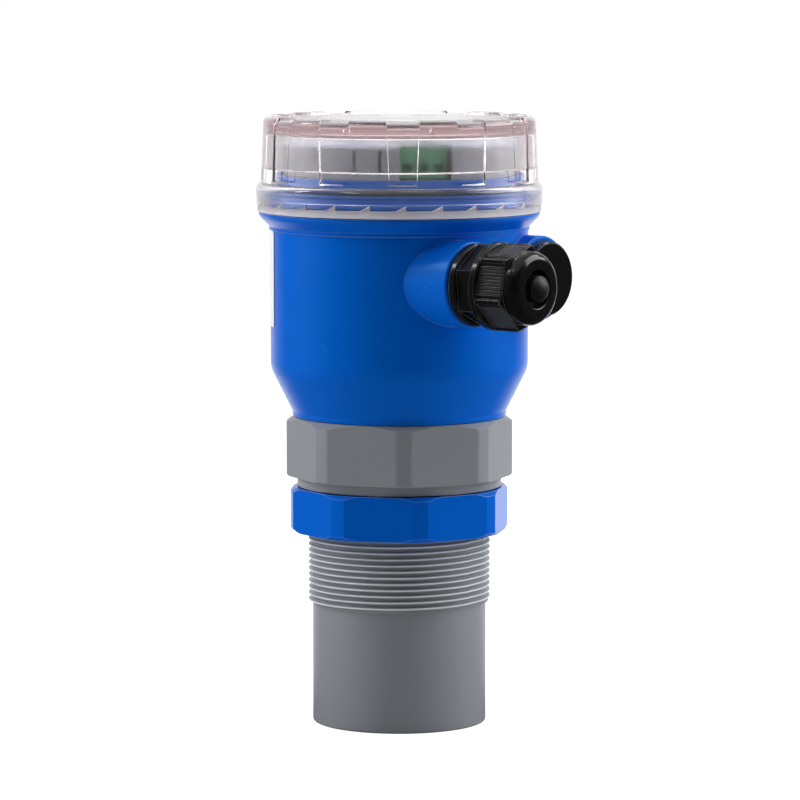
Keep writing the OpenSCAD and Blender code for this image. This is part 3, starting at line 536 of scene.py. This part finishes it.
def thread_radius(turn, z):
    """Radius of the helical thread at an angle and a height, with its run-out at the lower end."""
    start = THREAD_FRONT_CREST_Z + THREAD_PITCH * (turn + math.pi / 2 - CAMERA_AZIMUTH) / (2 * math.pi)
    start += PARTING_STEP if math.sin(turn) > 0 else 0
    phase = ((z - start) / THREAD_PITCH + 0.5) % 1 - 0.5
    crest = THREAD_R - (CREST_RELIEF if z > RELIEF_Z else 0)
    rise = min(1.0, max(0.0, (THREAD_ROOT - abs(phase)) / (THREAD_ROOT - THREAD_CREST)))
    helix = THREAD_ROOT_R + (crest - THREAD_ROOT_R) * rise
    return min(helix, TUBE_R + max(0.0, z - THREAD_Z) * RUN_OUT_SLOPE)


def octagon_reach(turn):
    """Radius of the octagon at an angle, with its corners turned down."""
    local = (turn - OCTAGON_TURN + OCTAGON_STEP / 2) % OCTAGON_STEP - OCTAGON_STEP / 2
    return min(OCTAGON_FLAT_R / math.cos(local), OCTAGON_CORNER_R)


def tube_rows():
    """The tube's closed section, each row a function from the angle to a radius and a height."""
    def ring(r, z):
        return lambda turn: (r, z)

    def thread_row(z):
        return lambda turn: (thread_radius(turn, z), z)

    def octagon_foot(turn):
        return min(octagon_reach(turn), OCTAGON_CORNER_R - OCTAGON_FOOT_CUT), OCTAGON_Z

    def octagon_low(turn):
        reach = octagon_reach(turn)
        return reach, OCTAGON_Z + max(0.0, reach - OCTAGON_CORNER_R + OCTAGON_FOOT_CUT)

    top_r = OCTAGON_CORNER_R - OCTAGON_TOP_IN

    def octagon_high(turn):
        reach = octagon_reach(turn)
        return reach, SEAT_Z - (reach - top_r) * OCTAGON_TOP_CUT / OCTAGON_TOP_IN

    rows = [ring(BORE_R, 0), ring(TUBE_R - TUBE_EDGE, 0)]
    for i in range(1, TUBE_EDGE_STEPS + 1):
        angle = math.pi / 2 * i / TUBE_EDGE_STEPS
        rows.append(ring(TUBE_R - TUBE_EDGE + TUBE_EDGE * math.sin(angle),
                         TUBE_EDGE - TUBE_EDGE * math.cos(angle)))
    count = round((COLLAR_Z - THREAD_Z) / THREAD_ROW)
    rows += [thread_row(THREAD_Z + (COLLAR_Z - THREAD_Z) * i / count) for i in range(count + 1)]
    rows += [ring(COLLAR_R, COLLAR_Z), ring(COLLAR_R, OCTAGON_Z)]
    rows += [octagon_foot, octagon_low, octagon_high, ring(top_r, SEAT_Z)]
    rows += [ring(SPIGOT_R, SEAT_Z), ring(SPIGOT_R, SPIGOT_TOP_Z), ring(BORE_R, SPIGOT_TOP_Z)]
    return rows


def tube_turns():
    """Angles of the columns, with the edges of the octagon's corners among them."""
    full = 2 * math.pi
    corner = math.acos(OCTAGON_FLAT_R / OCTAGON_CORNER_R)
    corners = [OCTAGON_TURN + i * OCTAGON_STEP for i in range(OCTAGON_SIDES)]
    edges = [turn + side * corner for turn in corners for side in (-1, 1)]
    even = [full * i / COLUMNS for i in range(COLUMNS)]
    near = full / COLUMNS / 4
    kept = [turn for turn in even
            if all(abs((turn - edge + math.pi) % full - math.pi) > near for edge in edges)]
    return sorted([turn % full for turn in edges] + kept)


def round_point(turn, r, z):
    """A point at an angle, a radius and a height."""
    return (r * math.cos(turn), r * math.sin(turn), z)


WELD = 0.002 * MM
TUBE_SHARP = math.radians(32)
CAP_SHARP = math.radians(50)


def make_turned(name, rows, finishes, sharp, finish_of_row=None, cut_after=None):
    """A turned mesh piece from closed rows of points, smooth with its sharp edges kept."""
    across = len(rows[0])
    faces = []
    indices = []
    for j in range(len(rows)):
        if j == cut_after:
            continue
        below = j * across
        above = (j + 1) % len(rows) * across
        for i in range(across):
            k = (i + 1) % across
            faces.append((below + i, below + k, above + k, above + i))
            indices.append(finish_of_row(j) if finish_of_row else 0)
    mesh = bpy.data.meshes.new(name)
    mesh.from_pydata([point for row in rows for point in row], [], faces)
    for finish in finishes:
        mesh.materials.append(finish)
    mesh.polygons.foreach_set("material_index", indices)
    shape = bmesh.new()
    shape.from_mesh(mesh)
    bmesh.ops.remove_doubles(shape, verts=shape.verts, dist=WELD)
    bmesh.ops.recalc_face_normals(shape, faces=shape.faces)
    for face in shape.faces:
        face.smooth = True
    for edge in shape.edges:
        edge.smooth = edge.is_manifold and edge.calc_face_angle() < sharp
    shape.to_mesh(mesh)
    shape.free()
    piece = bpy.data.objects.new(name, mesh)
    bpy.context.scene.collection.objects.link(piece)
    return piece


def make_tube(material):
    """The sensing tube, thread, collar and octagon as one moulding."""
    turns = tube_turns()
    rows = [[round_point(turn, *row(turn)) for turn in turns] for row in tube_rows()]
    piece = make_turned("sensing_tube", rows, [material], TUBE_SHARP)
    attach(piece, "base")
    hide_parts("transducer_body")


# Clear cap with its grip lands and saw teeth

LAND_STEPS = (0.0, 0.15, 0.3, 0.333, 0.367, 0.4, 0.5, 0.65, 0.8, 1.0)
LAND_WALL = (0.3, 0.4)
LAND_WALL_IN = 0.15 * MM
LAND_WALL_OUT = 0.1 * MM
LAND_FOOT_SLOPE = 0.5 * MM
EDGE_STEPS = 8
TOOTH_SLOPE = 0.5 * MM
TOOTH_EDGE = 0.04 * MM
TOOTH_RAMP_STEPS = 3
TOOTH_FLAT_STEPS = 5
TOOTH_ROWS = 3
# The tooth beside the first land
FIRST_TOOTH = -1
STEP_SLOPE = 0.25 * MM
PLATE_ROUND = 0.5 * MM
PLATE_STEPS = 3


def blend_between(value, low, high):
    """0 below low, 1 above high, and a smooth run between them."""
    share = min(1.0, max(0.0, (value - low) / (high - low)))
    return share * share * (3 - 2 * share)


def land_columns():
    """The columns round the cap: the angle of a gap, and a step from its middle at 0 to a land's at 1."""
    steps = [-step for step in reversed(LAND_STEPS)] + list(LAND_STEPS[1:-1])
    return [(LAND_TURN + i * 2 * math.pi / LANDS, step) for i in range(LANDS) for step in steps]


def land_turn_at(column, reach, z):
    """The angle of a column at a radius and a height, along the slanted side of its gap."""
    middle, step = column
    rise = max(0.0, (z - GAP_FOOT_Z) / (CAP_TOP_Z - GAP_FOOT_Z))
    half = GAP_FOOT_HALF + (GAP_HALF - GAP_FOOT_HALF) * rise
    wall_in = math.asin((half - LAND_WALL_IN) / reach)
    wall_out = math.asin((half + LAND_WALL_OUT) / reach)
    turns = [0, wall_in, wall_out, math.pi / LANDS]
    marks = [0, *LAND_WALL, 1]
    size = abs(step)
    i = next(i for i in range(len(LAND_WALL) + 1) if size <= marks[i + 1])
    share = (size - marks[i]) / (marks[i + 1] - marks[i])
    return middle + math.copysign(turns[i] + share * (turns[i + 1] - turns[i]), step)


def wall_reach(z, inset):
    """Radius of the cap's drafted wall at a height."""
    return WALL_FOOT_R - inset - CAP_DRAFT * (z - WALL_FOOT_Z) / (CAP_TOP_Z - WALL_FOOT_Z)


def cap_outer_sections():
    """Rows from the skirt's foot to the middle of the top, each from an inset to a radius and a height."""
    def fixed(r, z):
        return lambda inset: (r, z)

    def wall(z):
        return lambda inset: (wall_reach(z, inset), z)

    def top_edge(angle):
        def point(inset):
            z = CAP_TOP_Z - inset - CAP_ROUND
            r = wall_reach(z, inset) - CAP_ROUND
            return r + CAP_ROUND * math.cos(angle), z + CAP_ROUND * math.sin(angle)
        return point

    rows = [fixed(SKIRT_FOOT_R, CAP_Z), fixed(SKIRT_FOOT_R, SKIRT_FOOT_Z - SKIRT_R + SKIRT_FOOT_R)]
    rows.append(fixed(SKIRT_R, SKIRT_FOOT_Z))
    bend = math.acos(1 - (SKIRT_R - WALL_FOOT_R) / SHOULDER_ROUND)
    for i in range(EDGE_STEPS + 1):
        angle = bend * i / EDGE_STEPS
        rows.append(fixed(SKIRT_R - SHOULDER_ROUND + SHOULDER_ROUND * math.cos(angle),
                          WALL_FOOT_Z - SHOULDER_ROUND + SHOULDER_ROUND * math.sin(angle)))
    rows.append(fixed(WALL_FOOT_R, WALL_FOOT_Z))
    rows.append(fixed(wall_reach(GAP_FOOT_Z, 0), GAP_FOOT_Z))
    rows += [wall(GAP_FOOT_Z + LAND_FOOT_SLOPE), wall(CAP_STEP_Z), wall(CAP_PLATE_Z)]
    rows += [top_edge(math.pi / 2 * i / EDGE_STEPS) for i in range(EDGE_STEPS + 1)]
    rows.append(lambda inset: (LAND_IN_R, CAP_TOP_Z - inset))
    rows += [fixed(LAND_IN_R - LAND_WALL_IN, CAP_TOP_Z - LAND_H), fixed(0, CAP_TOP_Z - LAND_H)]
    return rows


def tooth_columns():
    """Angle and height of the saw at the columns round the inside."""
    pitch = 2 * math.pi / TEETH
    flat = (TOOTH_R * pitch - TOOTH_RAMP - TOOTH_EDGE) / TOOTH_FLAT_STEPS
    shares = [i / TOOTH_RAMP_STEPS for i in range(TOOTH_RAMP_STEPS)]
    places = [(-TOOTH_RAMP * (1 - share), TOOTH_H * share) for share in shares]
    places.append((-TOOTH_EDGE, TOOTH_H))
    places += [(TOOTH_EDGE + flat * i, 0) for i in range(TOOTH_FLAT_STEPS)]
    turns = [TOOTH_TURN + (FIRST_TOOTH + i) * pitch for i in range(TEETH)]
    return [(turn + along / TOOTH_R, rise) for turn in turns for along, rise in places]


def cap_inner_sections():
    """Rows from the middle of the underside to the foot, each from a rise to a radius and a height."""
    def fixed(r, z):
        return lambda rise: (r, z)

    upper_r = CAP_IN_R - CAP_STEP
    rows = [fixed(0, CAP_PLATE_Z)]
    for i in range(PLATE_STEPS + 1):
        angle = math.pi / 2 * i / PLATE_STEPS
        rows.append(fixed(upper_r - PLATE_ROUND + PLATE_ROUND * math.sin(angle),
                          CAP_PLATE_Z - PLATE_ROUND + PLATE_ROUND * math.cos(angle)))
    rows += [fixed(upper_r, CAP_STEP_Z + STEP_SLOPE), fixed(CAP_IN_R, CAP_STEP_Z - STEP_SLOPE)]
    rows += [fixed(CAP_IN_R, CAP_SHOULDER_Z), fixed(CAP_THREAD_R, CAP_SHOULDER_Z)]
    rows += [fixed(CAP_THREAD_R, CAP_THREAD_Z), fixed(TOOTH_R + TOOTH_T, CAP_THREAD_Z)]
    rows.append(lambda rise: (TOOTH_R + TOOTH_T, CAP_BAND_Z + rise))
    rows.append(lambda rise: (TOOTH_R, CAP_BAND_Z + rise + TOOTH_SLOPE))
    rows.append(fixed(TOOTH_R, CAP_Z))
    return rows


def make_cap(clear, frosted):
    """The clear cap, with slanted sides to its lands and a frosted band of saw teeth."""
    rows = []
    for section in cap_outer_sections():
        row = []
        for column in land_columns():
            r, z = section(LAND_H * (1 - blend_between(abs(column[1]), *LAND_WALL)))
            row.append(round_point(land_turn_at(column, max(r, LAND_IN_R), z), r, z))
        rows.append(row)
    outer = len(rows)
    for section in cap_inner_sections():
        rows.append([round_point(turn, *section(rise)) for turn, rise in tooth_columns()])
    saw = range(len(rows) - TOOTH_ROWS, len(rows) - 1)
    piece = make_turned("cap_shell", rows, [clear, frosted], CAP_SHARP,
                        finish_of_row=lambda j: int(j in saw), cut_after=outer - 1)
    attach(piece, "cap")
    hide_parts("clear_cap")


# Floor, light and camera

FLOOR_SIZE = 8.0
FLOOR_TONE = 0.65
FLOOR_DIM = 0.01
FLOOR_GLOW_NEAR = 0.78
FLOOR_NEAR = 0.15
FLOOR_FAR = 0.9
AMBIENT = 0.03
THROUGH_CLEAR = 0.9


def plain_and_glossy_rays(tree):
    """Masks of the rays that see the backdrop plain, and of those that a glossy surface throws back."""
    light = add(tree, "LightPath").outputs
    straight = math_node(tree, "LESS_THAN", light["Diffuse Depth"], 0.5)
    through = math_node(tree, "GREATER_THAN", light["Transmission Depth"], 0.5)
    clear = math_node(tree, "MULTIPLY", through, straight)
    return math_node(tree, "MAXIMUM", light["Is Camera Ray"], clear), light["Is Glossy Ray"]


def rays_from_inside(tree):
    """Mask of the rays that leave a dull surface through the clear cap."""
    light = add(tree, "LightPath").outputs
    thrown = math_node(tree, "GREATER_THAN", light["Diffuse Depth"], 0.5)
    through = math_node(tree, "GREATER_THAN", light["Transmission Depth"], 0.5)
    return math_node(tree, "MULTIPLY", through, thrown)


def make_floor():
    """A pale floor, white in the picture, with a soft shadow, and dim in front in reflections."""
    bpy.ops.mesh.primitive_plane_add(size=FLOOR_SIZE)
    floor = bpy.context.object
    floor.name = "floor"
    material, tree, shader = new_material("floor_white")
    plain, glossy = plain_and_glossy_rays(tree)
    place = add(tree, "NewGeometry").outputs["Position"]
    mirrored = math_node(tree, "MULTIPLY", glossy, place_group(tree, STUDIO_GLOW, Direction=place)["Glow"])
    shown = math_node(tree, "MAXIMUM", plain, mirrored)
    dim = math_node(tree, "MULTIPLY", glossy, inverse(tree, shown))
    tone = mix_colors(tree, dim, (*[FLOOR_TONE] * 3, 1), (*[FLOOR_DIM] * 3, 1))
    feed(tree, shader, Base_Color=tone, Roughness=0.9, Specular_IOR_Level=0.0)
    reach = add(tree, "VectorMath", operation="LENGTH")
    tree.links.new(place, reach.inputs[0])
    far = ramp(tree, reach.outputs["Value"], FLOOR_NEAR, FLOOR_FAR)
    level = math_node(tree, "MULTIPLY_ADD", far, 1 - FLOOR_GLOW_NEAR, FLOOR_GLOW_NEAR)
    glow = add(tree, "Emission")
    feed(tree, glow, Color=math_node(tree, "MULTIPLY", shown, level))
    both = add(tree, "AddShader")
    tree.links.new(shader.outputs[0], both.inputs[0])
    tree.links.new(glow.outputs[0], both.inputs[1])
    output = next(node for node in tree.nodes if node.type == "OUTPUT_MATERIAL")
    tree.links.new(both.outputs[0], output.inputs["Surface"])
    floor.data.materials.append(material)


def make_world():
    """White for the camera and through clear plastic, and bright behind and overhead in reflections."""
    world = bpy.data.worlds.new("studio")
    bpy.context.scene.world = world
    world.use_nodes = True
    tree = world.node_tree
    tree.nodes.clear()
    output = add(tree, "OutputWorld")
    back = add(tree, "Background")
    tree.links.new(back.outputs[0], output.inputs["Surface"])
    plain, glossy = plain_and_glossy_rays(tree)
    way = add(tree, "TexCoord").outputs["Generated"]
    mirrored = math_node(tree, "MULTIPLY", glossy, place_group(tree, STUDIO_GLOW, Direction=way)["Glow"])
    soft = math_node(tree, "MULTIPLY", inverse(tree, glossy), AMBIENT)
    through = math_node(tree, "MULTIPLY", rays_from_inside(tree), THROUGH_CLEAR)
    thrown = math_node(tree, "MAXIMUM", mirrored, math_node(tree, "MAXIMUM", soft, through))
    shown = math_node(tree, "MAXIMUM", plain, thrown)
    feed(tree, back, Color=shown)


def make_light(name, azimuth, elevation, distance, width, height, power, mirrored=False):
    """A soft box that faces the middle of the object, mirrored in it or not."""
    light = bpy.data.lights.new(name, "AREA")
    light.shape = "RECTANGLE"
    light.size = width
    light.size_y = height
    light.energy = power
    lamp = bpy.data.objects.new(name, light)
    lamp.visible_glossy = mirrored
    bpy.context.scene.collection.objects.link(lamp)
    middle = Vector((0, 0, (cad_box[0].z + cad_box[1].z) / 2))
    place = middle + beside_camera(azimuth, elevation, distance)
    lamp.location = place
    lamp.rotation_euler = (middle - place).to_track_quat("-Z", "Y").to_euler()


def make_camera():
    """The camera where the photograph was taken from."""
    data = bpy.data.cameras.new("camera")
    data.sensor_width = SENSOR_WIDTH
    data.lens = FOCAL_PIXELS * SENSOR_WIDTH / FRAME_PIXELS
    camera = bpy.data.objects.new("camera", data)
    bpy.context.scene.collection.objects.link(camera)
    camera.location = (
        CAMERA_AWAY * math.sin(CAMERA_AZIMUTH), -CAMERA_AWAY * math.cos(CAMERA_AZIMUTH), CAMERA_HEIGHT
    )
    aside = (FRAME_PIXELS / 2 - AXIS_PIXEL) / FOCAL_PIXELS
    camera.rotation_euler = (math.pi / 2 - CAMERA_PITCH, 0, CAMERA_AZIMUTH - aside)
    bpy.context.scene.camera = camera


materials = make_materials()
for part in frame["record"]["subparts"]:
    finish = part["node"] if part["node"] in materials else part["material_slot"]
    data = nodes[part["node"]].data
    data.materials.clear()
    data.materials.append(materials[finish])

make_tube(materials["tube_threaded"])
make_cap(materials["clear"], materials["cap_frosted"])

make_floor()
make_world()
make_light("right_box", 98, 34, 0.95, width=0.7, height=0.62, power=6.6, mirrored=True)
make_light("right_low", 96, 8, 0.95, width=0.7, height=0.35, power=3.1)
make_light("left_box", -88, 32, 0.95, width=0.7, height=0.62, power=3.4)
make_light("left_strip", -95, 37, 0.95, width=0.12, height=0.3, power=1.6, mirrored=True)
make_light("left_low", -90, 8, 0.95, width=0.7, height=0.35, power=2.7)
make_light("top_box", 160, 70, 1.1, width=0.9, height=0.9, power=6.0)
make_light("small_box", -50, 55, 0.9, width=0.16, height=0.16, power=0.8, mirrored=True)
make_camera()
bpy.context.scene.view_settings.view_transform = "Standard"
